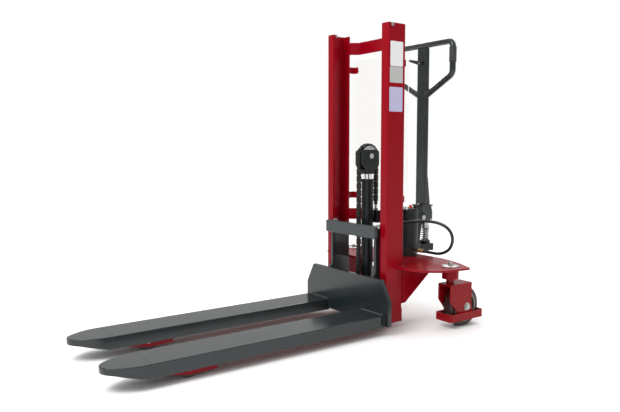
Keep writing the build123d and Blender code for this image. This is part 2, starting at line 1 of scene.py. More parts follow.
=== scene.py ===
import bpy
from math import cos, pi, radians, sin
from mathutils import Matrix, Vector


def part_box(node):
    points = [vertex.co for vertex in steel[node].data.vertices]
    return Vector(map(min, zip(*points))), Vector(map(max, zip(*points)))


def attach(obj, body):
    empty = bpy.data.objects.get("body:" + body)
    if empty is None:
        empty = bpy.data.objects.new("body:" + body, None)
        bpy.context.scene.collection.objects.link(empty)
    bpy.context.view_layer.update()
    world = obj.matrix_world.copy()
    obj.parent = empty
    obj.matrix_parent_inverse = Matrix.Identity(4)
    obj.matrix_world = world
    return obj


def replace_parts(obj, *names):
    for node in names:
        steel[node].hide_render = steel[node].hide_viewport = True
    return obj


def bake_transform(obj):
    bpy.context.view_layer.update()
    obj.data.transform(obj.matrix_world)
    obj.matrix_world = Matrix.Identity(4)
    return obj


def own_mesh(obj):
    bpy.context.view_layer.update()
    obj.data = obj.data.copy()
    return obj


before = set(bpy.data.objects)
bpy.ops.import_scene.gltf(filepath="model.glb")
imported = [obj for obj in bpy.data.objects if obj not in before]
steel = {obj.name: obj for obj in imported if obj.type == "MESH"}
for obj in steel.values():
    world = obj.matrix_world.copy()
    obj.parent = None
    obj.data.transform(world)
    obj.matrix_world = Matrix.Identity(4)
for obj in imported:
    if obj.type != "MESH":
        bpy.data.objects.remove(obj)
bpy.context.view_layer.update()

# Camera, floor and light.
# The truck stands on a pale studio floor under a white dome, with a large soft lamp over the
# forks and a weaker one behind the operator's side to draw the edges.
camera = bpy.data.objects.new("camera", bpy.data.cameras.new("camera"))
camera.data.lens = 36.93
camera.data.sensor_width = 36
camera.location = (2.2271, -1.4845, 0.7976)
camera.rotation_euler = (radians(84.78), radians(0.05), radians(54.22))
bpy.context.collection.objects.link(camera)
bpy.context.scene.camera = camera

studio = bpy.data.worlds.new("studio")
studio.use_nodes = True
backdrop = studio.node_tree
backdrop.nodes["Background"].inputs["Color"].default_value = (1, 1, 1, 1)
seen = backdrop.nodes.new("ShaderNodeLightPath")
way = backdrop.nodes.new("ShaderNodeTexCoord")
height = backdrop.nodes.new("ShaderNodeSeparateXYZ")
dome = backdrop.nodes.new("ShaderNodeMapRange")
dome.inputs["From Min"].default_value = 0.15
dome.inputs["From Max"].default_value = 0.80
dome.inputs["To Min"].default_value = 0.50
dome.inputs["To Max"].default_value = 1.30
through = backdrop.nodes.new("ShaderNodeMath")
through.operation = "MAXIMUM"
white = backdrop.nodes.new("ShaderNodeMath")
white.operation = "MAXIMUM"
backdrop.links.new(seen.outputs["Is Camera Ray"], through.inputs[0])
backdrop.links.new(seen.outputs["Is Transmission Ray"], through.inputs[1])
backdrop.links.new(way.outputs["Generated"], height.inputs["Vector"])
backdrop.links.new(height.outputs["Z"], dome.inputs["Value"])
backdrop.links.new(dome.outputs["Result"], white.inputs[0])
backdrop.links.new(through.outputs["Value"], white.inputs[1])
backdrop.links.new(white.outputs["Value"], backdrop.nodes["Background"].inputs["Strength"])
bpy.context.scene.world = studio
bpy.context.scene.view_settings.view_transform = "Standard"


def softbox(name, place, aim, size, watts):
    """A square lamp hung at one place and turned to face another."""
    lamp = bpy.data.objects.new(name, bpy.data.lights.new(name, "AREA"))
    lamp.data.size = size
    lamp.data.energy = watts
    lamp.location = place
    lamp.rotation_euler = (Vector(aim) - Vector(place)).to_track_quat("-Z", "Y").to_euler()
    bpy.context.collection.objects.link(lamp)


softbox("lamp_over_forks", (0.6, -2.2, 2.8), (0, 0, 0.5), 1.6, 62)
softbox("lamp_behind_handle", (-1.8, 2.4, 2.2), (0, 0.5, 0.6), 1.2, 30)

floor_half = 60.0
floor = bpy.data.meshes.new("floor")
corners = [(-floor_half, -floor_half, 0), (floor_half, -floor_half, 0)]
corners += [(floor_half, floor_half, 0), (-floor_half, floor_half, 0)]
floor.from_pydata(corners, [], [(0, 1, 2, 3)])
floor = bpy.data.objects.new("floor", floor)
bpy.context.collection.objects.link(floor)


def coating(name, dark, light, patch, rough, grain, metal=0.0, coat=0.0, depth=0.02, rub=None,
            shine=0.5):
    """A finish that drifts between two shades in patches and between two gloss levels, over a
    fine grain. Where an edge colour is given, rounded edges are painted lighter with it: partly
    wear where hands and pallets touch, partly a painted highlight for the gleam on the corners."""
    finish = bpy.data.materials.new(name)
    finish.use_nodes = True
    nodes, join = finish.node_tree.nodes, finish.node_tree.links.new
    shader = nodes["Principled BSDF"]
    shader.inputs["Metallic"].default_value = metal
    shader.inputs["Specular IOR Level"].default_value = shine
    shader.inputs["Coat Weight"].default_value = coat
    shader.inputs["Coat Roughness"].default_value = 0.12
    place = nodes.new("ShaderNodeTexCoord")
    drift = nodes.new("ShaderNodeTexNoise")
    drift.inputs["Scale"].default_value = patch
    drift.inputs["Detail"].default_value = 5
    join(place.outputs["Object"], drift.inputs["Vector"])
    tint = nodes.new("ShaderNodeMix")
    tint.data_type = "RGBA"
    tint.inputs["A"].default_value = (*dark, 1)
    tint.inputs["B"].default_value = (*light, 1)
    join(drift.outputs["Fac"], tint.inputs["Factor"])
    colour = tint.outputs["Result"]
    # Painted highlight and wear: where the bevel normal turns away from the face normal, the colour is
    # mixed toward the lighter edge colour.
    if rub:
        rounded = nodes.new("ShaderNodeBevel")
        rounded.samples = 4
        rounded.inputs["Radius"].default_value = 0.0022
        flat = nodes.new("ShaderNodeNewGeometry")
        turn = nodes.new("ShaderNodeVectorMath")
        turn.operation = "DOT_PRODUCT"
        join(rounded.outputs["Normal"], turn.inputs[0])
        join(flat.outputs["Normal"], turn.inputs[1])
        wear_and_highlight_mask = nodes.new("ShaderNodeMapRange")
        wear_and_highlight_mask.inputs["From Min"].default_value = 0.99
        wear_and_highlight_mask.inputs["From Max"].default_value = 0.80
        wear_and_highlight_mask.inputs["To Max"].default_value = 0.55
        join(turn.outputs["Value"], wear_and_highlight_mask.inputs["Value"])
        worn_and_highlit = nodes.new("ShaderNodeMix")
        worn_and_highlit.data_type = "RGBA"
        worn_and_highlit.inputs["B"].default_value = (*rub, 1)
        join(wear_and_highlight_mask.outputs["Result"], worn_and_highlit.inputs["Factor"])
        join(colour, worn_and_highlit.inputs["A"])
        colour = worn_and_highlit.outputs["Result"]
    join(colour, shader.inputs["Base Color"])
    gloss = nodes.new("ShaderNodeMapRange")
    gloss.inputs["To Min"].default_value = rough[0]
    gloss.inputs["To Max"].default_value = rough[1]
    join(drift.outputs["Fac"], gloss.inputs["Value"])
    join(gloss.outputs["Result"], shader.inputs["Roughness"])
    peel = nodes.new("ShaderNodeTexNoise")
    peel.inputs["Scale"].default_value = grain
    peel.inputs["Detail"].default_value = 3
    join(place.outputs["Object"], peel.inputs["Vector"])
    relief = nodes.new("ShaderNodeBump")
    relief.inputs["Strength"].default_value = 0.6
    relief.inputs["Distance"].default_value = depth / 1000
    join(peel.outputs["Fac"], relief.inputs["Height"])
    join(relief.outputs["Normal"], shader.inputs["Normal"])
    return finish


floor.data.materials.append(coating("studio_floor", (0.93, 0.93, 0.93), (0.95, 0.95, 0.95),
                                    patch=2.0, rough=(0.7, 0.8), grain=40, depth=0.0))


# Hydraulic hose.
# A smooth black rubber hose of 14 mm, crimped at both ends. It leaves the pump's side, stands
# up in one loop beside the tank and drops into the back of the lift cylinder.
hose_radius = 0.007
hose_route = [
    (0.097, 0.705, 0.307), (0.152, 0.705, 0.307), (0.212, 0.712, 0.305), (0.262, 0.723, 0.332),
    (0.276, 0.728, 0.384), (0.256, 0.720, 0.430), (0.208, 0.700, 0.454), (0.152, 0.674, 0.458),
    (0.096, 0.650, 0.453), (0.046, 0.626, 0.443), (0.015, 0.593, 0.432), (0.0, 0.550, 0.425),
    (0.0, 0.510, 0.425),
]
hose_line = bpy.data.curves.new("hydraulic_hose_line", "CURVE")
hose_line.dimensions = "3D"
hose_line.bevel_depth = hose_radius
hose_line.bevel_resolution = 6
hose_line.resolution_u = 16
spline = hose_line.splines.new("NURBS")
spline.points.add(len(hose_route) - 1)
for point, place in zip(spline.points, hose_route):
    point.co = (*place, 1)
spline.order_u = 3
spline.use_endpoint_u = True
hose = bpy.data.objects.new("hose_skin", hose_line)
bpy.context.collection.objects.link(hose)
hose_line.materials.append(coating("hose_rubber", (0.006, 0.006, 0.007), (0.014, 0.014, 0.015),
                                   patch=60, rough=(0.28, 0.42), grain=1500))
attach(hose, "frame")
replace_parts(hose, "hydraulic_hose")


def make(name, points, faces, body, slot, finish, smooth=True):
    """One solid piece from its points and faces, set on the body that carries it."""
    mesh = bpy.data.meshes.new(name)
    mesh.from_pydata([tuple(point) for point in points], [], faces)
    mesh.validate()
    mesh.shade_smooth() if smooth else mesh.shade_flat()
    mesh.materials.append(finish)
    piece = bpy.data.objects.new(name, mesh)
    bpy.context.collection.objects.link(piece)
    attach(piece, body)
    return piece


def crisp(piece, angle=32):
    """Keeps a turned or pressed piece's corners sharp and its rounds smooth."""
    piece.data.set_sharp_from_angle(angle=radians(angle))
    return piece


def turned(start, along, profile, steps=48, ring=False, flutes=0, cut=0.0):
    """Points and faces of a piece turned on a lathe: profile is distance along the axis and
    radius, from one end to the other, or right round where it is a ring. Flutes groove it."""
    axis = Vector(along).normalized()
    side = axis.orthogonal().normalized()
    up = axis.cross(side)
    points, faces = [], []
    for reach, radius in profile:
        for step in range(steps):
            angle = 2 * pi * step / steps
            spoke = side * cos(angle) + up * sin(angle)
            depth = cut * (0.5 + 0.5 * cos(flutes * angle))
            points.append(Vector(start) + axis * reach + spoke * (radius - depth))
    rows = len(profile)
    for row in range(rows if ring else rows - 1):
        for step in range(steps):
            turn = (step + 1) % steps
            here, over = row * steps, (row + 1) % rows * steps
            faces.append((here + step, here + turn, over + turn, over + step))
    if not ring:
        faces.append(tuple(reversed(range(steps))))
        faces.append(tuple(range(len(points) - steps, len(points))))
    return points, faces


def joined(*solids):
    """Several sets of points and faces as one."""
    points, faces = [], []
    for more_points, more_faces in solids:
        shift = len(points)
        points += more_points
        faces += [tuple(corner + shift for corner in face) for face in more_faces]
    return points, faces


def spun(name, middle, ring, steps, body, slot, finish):
    """A ring turned about a level axle that runs across the truck."""
    return crisp(make(name, *turned(middle, (1, 0, 0), ring, steps, ring=True), body, slot, finish))


# Hose fittings.
# Brass swivel nuts on the pump and the cylinder port, each with a crimped ferrule that grips
# the hose.
brass = coating("fitting_brass", (0.42, 0.25, 0.11), (0.62, 0.42, 0.22), patch=90,
                rough=(0.22, 0.38), grain=900, metal=1.0)
pump_port, ram_port = Vector(hose_route[0]), Vector(hose_route[-1])
ferrule = [(-0.026, 0.0055), (-0.026, 0.0095), (-0.0245, 0.0103), (-0.012, 0.0103),
           (-0.0105, 0.009)]
ferrule += [(-0.009, 0.0086), (-0.006, 0.0095), (-0.003, 0.0086), (0.0, 0.0095), (0.003, 0.0086)]
ferrule += [(0.006, 0.0095), (0.009, 0.0086), (0.0115, 0.0095), (0.014, 0.0088), (0.015, 0.0068)]
fittings = joined(turned(pump_port, (1, 0, 0), ferrule), turned(ram_port, (0, 1, 0), ferrule))
fittings = crisp(make("hose_ferrules", *fittings, "frame", "fitting_brass", brass))
steel["hose_fittings"].data.materials.clear()
steel["hose_fittings"].data.materials.append(brass)


# Mast, base and legs.
# Cold-formed channels and flame-cut plate, welded up and sprayed in one gloss red. The spray
# leaves a faint orange peel, and every cut edge is rolled over a little.
# Its edges are painted a lighter red: partly wear, partly a painted highlight for the gleam on the
# rolled corners.
red = coating("gloss_red", (0.20, 0.0005, 0.005), (0.28, 0.001, 0.008), patch=3.5,
              rough=(0.16, 0.28), grain=260, depth=0.03, rub=(0.52, 0.015, 0.03), shine=0.14)


def dressed(node, finish, roll=0.0):
    """Gives a steel piece its finish, and rolls its sharp edges over by the radius asked for."""
    piece = steel[node]
    piece.data.materials.clear()
    piece.data.materials.append(finish)
    if roll:
        skin = piece.modifiers.new("one_skin", "WELD")
        skin.merge_threshold = 0.00002
        flat = piece.modifiers.new("flat_faces", "DECIMATE")
        flat.decimate_type = "DISSOLVE"
        flat.angle_limit = radians(0.6)
        edges = piece.modifiers.new("rolled_edges", "BEVEL")
        edges.width = roll
        edges.segments = 2
        edges.limit_method = "ANGLE"
        edges.angle_limit = radians(38)
        edges.use_clamp_overlap = True
        shade = piece.modifiers.new("even_shade", "WEIGHTED_NORMAL")
        shade.weight = 60
    return piece


for node in ("mast_upright_right", "mast_upright_left", "top_crossbeam", "mid_crossbeam"):
    dressed(node, red, 0.0018)
for node in ("mast_foot_plate", "base_plate", "gussets", "support_leg_right", "support_leg_left"):
    dressed(node, red, 0.0012)


# Weld runs on the red steel.
# Short MIG runs painted over with the rest: the uprights to the base plate, the crossbeams to
# the uprights, the gussets under the plate and a ring round each caster housing.
ripple = 0.0036
foot_weld, under_weld, beam_weld, ring_weld = 0.0032, 0.0028, 0.0024, 0.0026
caster_x, caster_y, housing_radius = 0.334, 0.646, 0.0375


def bead(corners, size):
    """A weld run along a line of points, as overlapping ripples laid into the corner."""
    points, faces, sides = [], [], 8
    reaches = [0.0]
    for a, b in zip(corners, corners[1:]):
        reaches.append(reaches[-1] + (Vector(b) - Vector(a)).length)
    rings = max(4, int(reaches[-1] / ripple * 4))
    for ring in range(rings + 1):
        reach = reaches[-1] * ring / rings
        leg = max(i for i in range(len(corners) - 1) if reaches[i] <= reach + 1e-9)
        run = Vector(corners[leg + 1]) - Vector(corners[leg])
        share = (reach - reaches[leg]) / (reaches[leg + 1] - reaches[leg])
        middle = Vector(corners[leg]) + run * share
        side = run.cross(Vector((0.31, 0.52, 0.80))).normalized()
        up = run.cross(side).normalized()
        taper = 0.5 if ring in (0, rings) else 1.0
        swell = size * (0.80 + 0.25 * abs(sin(pi * reach / ripple))) * taper
        for step in range(sides):
            angle = 2 * pi * step / sides
            points.append(middle + (side * cos(angle) + up * sin(angle)) * swell)
    for ring in range(rings):
        for step in range(sides):
            here, turn = ring * sides, (step + 1) % sides
            faces.append((here + step, here + turn, here + sides + turn, here + sides + step))
    faces.append(tuple(reversed(range(sides))))
    faces.append(tuple(range(len(points) - sides, len(points))))
    return points, faces


def circle(centre, radius, height, steps=36):
    """Corners of a level circle, closed."""
    x, y = centre
    angles = [2 * pi * i / steps for i in range(steps + 1)]
    return [(x + radius * cos(angle), y + radius * sin(angle), height) for angle in angles]


upright_low, upright_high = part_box("mast_upright_right")
gusset_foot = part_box("gussets")[0].z
plate_low, plate_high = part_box("base_plate")
runs = []
for hand in (1, -1):
    outer, inner = hand * upright_high.x, hand * upright_low.x
    back = upright_high.y
    runs.append(bead([(outer, plate_low.y + 0.004, plate_high.z), (outer, back, plate_high.z)],
                     foot_weld))
    runs.append(bead([(outer, back, plate_high.z), (inner, back, plate_high.z)], foot_weld))
    runs.append(bead([(outer, back, plate_low.z), (outer, back, gusset_foot)], under_weld))
    for beam in ("top_crossbeam", "mid_crossbeam"):
        low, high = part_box(beam)
        foot, top = low.z + 0.004, high.z - 0.004
        runs.append(bead([(hand * high.x, back + 0.002, z) for z in (foot, top)], beam_weld))
for housing in ("caster_fork_right", "caster_fork_left"):
    hand = 1 if housing.endswith("right") else -1
    seam = circle((hand * caster_x, caster_y), housing_radius, plate_low.z - 0.0005)
    runs.append(bead(seam, ring_weld))
make("red_weld_runs", *joined(*runs), "frame", "mast_red", red)


# Blank label places.
# Two self-adhesive vinyl panels on the right upright, one white and one pale lilac. They are
# left blank, each with only a thin plain margin pressed round its edge.
def panel(name, y_low, y_high, z_low, z_high, tone):
    """A vinyl panel with rounded corners, standing a hair proud of the upright's web."""
    web, thick, corner, steps = upright_high.x, 0.0005, 0.005, 6
    outline = []
    for cy, cz, first in ((y_high, z_high, 0), (y_low, z_high, 90), (y_low, z_low, 180),
                          (y_high, z_low, 270)):
        for step in range(steps + 1):
            angle = radians(first + 90 * step / steps)
            y = cy + corner * (cos(angle) - (1 if cy == y_high else -1))
            z = cz + corner * (sin(angle) - (1 if cz == z_high else -1))
            outline.append((y, z))
    count = len(outline)
    middle = ((y_low + y_high) / 2, (z_low + z_high) / 2)
    points = [(web, y, z) for y, z in outline]
    for shrink, rise in ((1.0, thick), (0.93, thick), (0.915, thick * 0.7), (0.90, thick)):
        points += [(web + rise, middle[0] + (y - middle[0]) * shrink,
                    middle[1] + (z - middle[1]) * (0.5 + shrink / 2)) for y, z in outline]
    faces = []
    for row in range(4):
        for step in range(count):
            turn = (step + 1) % count
            here, over = row * count, (row + 1) * count
            faces.append((here + step, here + turn, over + turn, over + step))
    faces.append(tuple(range(4 * count, 5 * count)))
    vinyl = coating(name + "_vinyl", tuple(0.93 * part for part in tone), tone, patch=9.0,
                    rough=(0.30, 0.42), grain=900, depth=0.01)
    return make(name, points, faces, "frame", "mast_red", vinyl, smooth=False)


panel("white_blank_label", 0.388, 0.461, 1.144, 1.248, (0.74, 0.74, 0.75))
panel("grey_blank_label", 0.386, 0.461, 1.074, 1.142, (0.44, 0.44, 0.43))
panel("lilac_blank_label", 0.384, 0.461, 0.952, 1.056, (0.44, 0.42, 0.60))


# Guard.
# A clear plastic sheet between the uprights, sawn square and left unpolished at its edges. Red
# lugs carry it on four zinc bolts.
clear = bpy.data.materials.new("clear_sheet")
clear.use_nodes = True
sheet = clear.node_tree.nodes["Principled BSDF"]
sheet.inputs["Base Color"].default_value = (0.965, 0.955, 0.93, 1)
sheet.inputs["Transmission Weight"].default_value = 1.0
sheet.inputs["IOR"].default_value = 1.15
haze = clear.node_tree.nodes.new("ShaderNodeTexNoise")
haze.inputs["Scale"].default_value = 6.0
haze.inputs["Detail"].default_value = 6
smear = clear.node_tree.nodes.new("ShaderNodeMapRange")
smear.inputs["To Min"].default_value = 0.01
smear.inputs["To Max"].default_value = 0.05
spot = clear.node_tree.nodes.new("ShaderNodeTexCoord")
clear.node_tree.links.new(spot.outputs["Object"], haze.inputs["Vector"])
clear.node_tree.links.new(haze.outputs["Fac"], smear.inputs["Value"])
clear.node_tree.links.new(smear.outputs["Result"], sheet.inputs["Roughness"])
dressed("guard_sheet", clear)
dressed("guard_lugs", red, 0.0008)
zinc = coating("zinc_plate", (0.30, 0.31, 0.30), (0.58, 0.59, 0.57), patch=120.0,
               rough=(0.22, 0.40), grain=900, metal=1.0)
dressed("frame_bolts", zinc, 0.0006)


# Swivel casters.
# Each turns in a welded housing under the base plate. A pressed cap keeps dirt out of the
# bearing and a hex bolt holds it. The fork and its foot ring are bent from red strip.
dressed("caster_housings", red, 0.0008)
cap_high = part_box("caster_caps")[1]
cap_rise, rim = cap_high.z - plate_high.z, cap_high.x - caster_x
for name, hand in (("caster_cap_right", 1), ("caster_cap_left", -1)):
    centre = (hand * caster_x, caster_y, plate_high.z)
    dome = [(0, rim), (0.0025, rim), (0.0034, rim - 0.001), (0.0040, rim - 0.006),
            (0.0046, rim - 0.012)]
    dome += [(0.0052, 0.016), (0.0052, 0.0135), (0.0068, 0.0135), (0.0072, 0.0128)]
    head = [(0.0070, 0.0108), (cap_rise - 0.0012, 0.0108), (cap_rise, 0.0095)]
    cap = joined(turned(centre, (0, 0, 1), dome), turned(centre, (0, 0, 1), head, steps=6))
    piece = crisp(make(name, *cap, "frame", "zinc", zinc), 20)
    if hand == 1:
        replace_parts(piece, "caster_caps")
# Its edges are painted a lighter red: partly wear, partly a painted highlight on the bent corners.
caster_red = coating("caster_red", (0.19, 0.002, 0.004), (0.27, 0.004, 0.007), patch=8.0,
                     rough=(0.20, 0.32), grain=300, depth=0.04, rub=(0.46, 0.02, 0.03), shine=0.15)
tread = coating("polyurethane_tread", (0.022, 0.008, 0.007), (0.042, 0.016, 0.012), patch=40.0,
                rough=(0.34, 0.52), grain=700, depth=0.05)
rim_black = coating("cast_wheel_centre", (0.008, 0.008, 0.009), (0.018, 0.018, 0.019), patch=50.0,
                    rough=(0.36, 0.50), grain=500, depth=0.08)
bond = coating("tread_bond_line", (0.40, 0.33, 0.24), (0.52, 0.44, 0.33), patch=90.0,
               rough=(0.4, 0.5), grain=600)
tread_ring = [(-0.025, 0.066), (-0.025, 0.081), (-0.0240, 0.0850), (-0.0215, 0.0880),
              (-0.017, 0.0896), (-0.012, 0.090)]
tread_ring += [(-reach, radius) for reach, radius in reversed(tread_ring)]
bond_ring = [(-0.0252, 0.0642), (-0.0252, 0.0664), (0.0252, 0.0664), (0.0252, 0.0642)]
centre_ring = [(-0.0245, 0.0645), (-0.0245, 0.0600), (-0.0225, 0.0575), (-0.0100, 0.0530),
               (-0.0085, 0.0500), (-0.0085, 0.0330)]
centre_ring += [(-0.0110, 0.0295), (-0.0235, 0.0275), (-0.0245, 0.0260), (-0.0245, 0.0102)]
centre_ring += [(-reach, radius) for reach, radius in reversed(centre_ring)]
cover_ring = [(0.0240, 0.0120), (0.0253, 0.0125), (0.0256, 0.0150), (0.0253, 0.0215),
              (0.0240, 0.0225)]
for side, hand in (("right", 1), ("left", -1)):
    wheel_low, wheel_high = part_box("caster_wheel_" + side)
    hub = (wheel_low + wheel_high) / 2
    wheel = "caster_wheel_" + side
    ring = spun("tread_" + side, hub, tread_ring, 72, wheel, "tread", tread)
    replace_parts(ring, wheel)
    spun("wheel_centre_" + side, hub, centre_ring, 60, wheel, "black_metal", rim_black)
    spun("bond_line_" + side, hub, bond_ring, 72, wheel, "tread", bond)
    covers = joined(turned(hub, (1, 0, 0), cover_ring, ring=True),
                    turned(hub, (-1, 0, 0), cover_ring, ring=True))
    crisp(make("bearing_covers_" + side, *covers, wheel, "zinc", zinc))
    dressed("caster_fork_" + side, caster_red, 0.0012)
    dressed("caster_axle_" + side, zinc, 0.0006)
    axle_low, axle_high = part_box("caster_axle_" + side)
    washer = [(-0.0085, 0.0105), (-0.0085, 0.0170), (-0.0070, 0.0175), (-0.0068, 0.0105)]
    thread = [(-0.001, 0.0060), (0.0012, 0.0060), (0.0022, 0.0050)]
    hardware = []
    for end, out in ((axle_high.x, 1), (axle_low.x, -1)):
        place = (end, hub.y, hub.z)
        hardware.append(turned(place, (out, 0, 0), washer, ring=True))
        hardware.append(turned(place, (out, 0, 0), thread, 24))
    crisp(make("axle_washers_" + side, *joined(*hardware), "caster_swivel_" + side, "zinc", zinc))


# Load rollers.
# A dark nylon roller in the tip of each leg turns on a plain steel axle. A pressed bearing
# sits in each end.
nylon = coating("load_nylon", (0.020, 0.020, 0.022), (0.040, 0.040, 0.043), patch=60.0,
                rough=(0.34, 0.50), grain=800, depth=0.04)
roller_ring = [(-0.0438, 0.0240), (-0.0438, 0.0335), (-0.0425, 0.0352), (-0.0395, 0.0360),
               (-0.020, 0.0360)]
roller_ring += [(-reach, radius) for reach, radius in reversed(roller_ring)]
bearing_ring = [(-0.0430, 0.0082), (-0.0430, 0.0240), (0.0430, 0.0240), (0.0430, 0.0082)]
for side in ("right", "left"):
    roller = "load_roller_" + side
    low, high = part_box(roller)
    middle = (low + high) / 2
    sleeve = spun("roller_sleeve_" + side, middle, roller_ring, 64, roller, "load_nylon", nylon)
    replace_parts(sleeve, roller)
    spun("roller_bearings_" + side, middle, bearing_ring, 48, roller, "zinc", zinc)


# Lift cylinder and ram.
# A welded barrel with a screwed gland stands behind the carriage. Its ground chrome rod carries
# the yoke and the chain wheel.
# Its edges are painted a lighter grey: partly wear, partly a painted highlight on the rounded corners.
dark = coating("pump_grey", (0.005, 0.008, 0.009), (0.011, 0.015, 0.017), patch=14.0,
               rough=(0.24, 0.40), grain=420, depth=0.05, rub=(0.045, 0.054, 0.057), shine=0.28)
machined = coating("machined_steel", (0.36, 0.37, 0.38), (0.55, 0.56, 0.57), patch=80.0,
                   rough=(0.18, 0.34), grain=1200, metal=1.0)
chrome = coating("ground_chrome", (0.70, 0.71, 0.73), (0.80, 0.81, 0.83), patch=40.0,
                 rough=(0.05, 0.10), grain=2000, metal=1.0)
for node in ("cylinder_barrel", "cylinder_gland", "chain_wheel_yoke"):
    dressed(node, dark, 0.0008)
dressed("piston_rod", chrome)
wheel_low, wheel_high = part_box("chain_wheel")
wheel_middle = (wheel_low + wheel_high) / 2
half_wheel = (wheel_high.x - wheel_low.x) / 2
disc = [(-half_wheel, 0.0082), (-half_wheel, 0.0160), (-half_wheel + 0.0015, 0.0175),
        (-half_wheel + 0.0015, 0.0380)]
disc += [(-half_wheel, 0.0400), (-half_wheel, 0.0450), (-half_wheel + 0.0012, 0.0462),
         (-0.0118, 0.0462), (-0.0116, 0.0442)]
disc += [(-reach, radius) for reach, radius in reversed(disc)]
wheel = spun("grooved_chain_wheel", wheel_middle, disc, 72, "chain_wheel", "roller_steel", machined)
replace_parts(wheel, "chain_wheel")
dressed("chain_wheel_pin", zinc, 0.0005)


# Leaf chain.
# Oiled steel plates in alternate packs of three and two on riveted pins, one pitch long each.
# It runs from the bracket at the cylinder, up and over the wheel and down to the carriage.
oiled = coating("oiled_chain", (0.006, 0.006, 0.006), (0.030, 0.028, 0.026), patch=260.0,
                rough=(0.26, 0.46), grain=900, metal=0.4)
plate_thick, plate_eye, plate_waist = 0.0032, 0.0072, 0.0054
pin_radius, pin_half, pin_round = 0.0026, 0.0108, 0.0008
chain_pitch = 0.0159
pair_of_plates, three_plates = (-0.0044, 0.0044), (-0.0088, 0.0, 0.0088)


def leaf_chain(joints):
    """Plates and pins between a row of joints."""
    solids = []
    for link, (a, b) in enumerate(zip(joints, joints[1:])):
        run = (b - a).normalized()
        out = Vector((1, 0, 0)).cross(run)
        outline = [a + (run * cos(radians(angle)) + out * sin(radians(angle))) * plate_eye
                   for angle in range(110, 251, 28)]
        outline.append((a + b) / 2 - out * plate_waist)
        outline += [b + (run * cos(radians(angle)) + out * sin(radians(angle))) * plate_eye
                    for angle in range(-70, 71, 28)]
        outline.append((a + b) / 2 + out * plate_waist)
        count = len(outline)
        for offset in (three_plates if link % 2 else pair_of_plates):
            near = Vector((offset - plate_thick / 2, 0, 0))
            far = Vector((offset + plate_thick / 2, 0, 0))
            points = [point + near for point in outline] + [point + far for point in outline]
            faces = [tuple(reversed(range(count))), tuple(range(count, 2 * count))]
            faces += [(i, (i + 1) % count, count + (i + 1) % count, count + i)
                      for i in range(count)]
            solids.append((points, faces))
        pin_ends = [(-pin_half, pin_radius - pin_round), (-0.0104, pin_radius), (0.0104, pin_radius),
                    (pin_half, pin_radius - pin_round)]
        solids.append(turned(a, (1, 0, 0), pin_ends, 12))
    return joined(*solids)


strand_low, strand_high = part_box("chain_front")
back_low, back_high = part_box("chain_back")
front_y, back_y = (strand_low.y + strand_high.y) / 2, (back_low.y + back_high.y) / 2
pitch_radius = (back_y - front_y) / 2
front_links = round((strand_high.z - strand_low.z) / chain_pitch)
back_links = round((back_high.z - back_low.z) / chain_pitch)
wrap_links = 10
strand = strand_high.z - strand_low.z
front_joints = [Vector((0, front_y, strand_low.z + strand * i / front_links))
                for i in range(front_links + 1)]
front_joints[0] += Vector((0, 0, 0.004))
back_joints = [Vector((0, back_y, back_low.z + (back_high.z - back_low.z) * i / back_links))
               for i in range(back_links + 1)]
wrap_turns = [pi * i / wrap_links for i in range(wrap_links + 1)]
wrap_joints = [wheel_middle + Vector((0, -cos(turn), sin(turn))) * pitch_radius
               for turn in wrap_turns]
front_chain = make("leaf_chain_front", *leaf_chain(front_joints), "piston", "chain_steel", oiled,
                   smooth=False)
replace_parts(front_chain, "chain_front")
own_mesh(front_chain)
wrapped_chain = make("leaf_chain_over_wheel", *leaf_chain(wrap_joints), "piston", "chain_steel",
                     oiled, smooth=False)
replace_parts(wrapped_chain, "chain_wrap")
back_chain = make("leaf_chain_back", *leaf_chain(back_joints), "frame", "chain_steel", oiled,
                  smooth=False)
back_chain.parent = None
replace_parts(back_chain, "chain_back")
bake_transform(back_chain)


# Carriage and forks.
# Forks folded from plate to an inverted channel, welded to the heel plate and sprayed in a
# smooth dark grey. The tips are separate pressings, joined by a dressed weld.
# Its edges are painted a lighter grey: partly wear, partly a painted highlight on the rounded corners.
grey = coating("fork_grey", (0.008, 0.012, 0.013), (0.015, 0.020, 0.022), patch=5.0,
               rough=(0.14, 0.26), grain=300, coat=0.22, depth=0.025, rub=(0.075, 0.088, 0.092),
               shine=0.40)
for node in ("fork_right", "fork_left", "fork_plate", "carriage_side_right", "carriage_side_left"):
    dressed(node, grey, 0.0016)
# Its edges are painted a lighter grey: partly wear, partly a painted highlight on the rounded corners.
bar_grey = coating("crossbar_grey", (0.024, 0.032, 0.034), (0.035, 0.045, 0.048), patch=8.0,
                   rough=(0.26, 0.38), grain=300, depth=0.03, rub=(0.18, 0.20, 0.21))
dressed("carriage_crossbar", bar_grey, 0.0016)
for node in ("front_chain_anchor", "chain_anchor_bracket"):
    dressed(node, grey, 0.0010)
for node in ("guide_rollers_upper", "guide_rollers_lower"):
    dressed(node, machined, 0.0012)
dressed("guide_roller_pins", zinc, 0.0006)
heel_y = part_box("fork_right")[1].y
side_inner, tip_seam = 0.145, 0.150
heel_weld, plate_weld, seam_weld = 0.0058, 0.0030, 0.0009
bar_low, bar_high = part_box("carriage_crossbar")
runs = []
for fork, hand in (("fork_right", 1), ("fork_left", -1)):
    low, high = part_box(fork)
    across = (low.x + 0.008, high.x - 0.008)
    runs.append(bead([(x, heel_y - 0.001, high.z - 0.0005) for x in across], heel_weld))
    for x in (low.x + 0.001, high.x - 0.001):
        upright = (low.z + 0.006, high.z - 0.008)
        runs.append(bead([(x, heel_y - 0.001, z) for z in upright], plate_weld))
    side = "carriage_side_right" if hand == 1 else "carriage_side_left"
    upright = (bar_low.z + 0.006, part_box(side)[1].z - 0.004)
    runs.append(bead([(hand * side_inner, bar_high.y - 0.001, z) for z in upright], plate_weld))
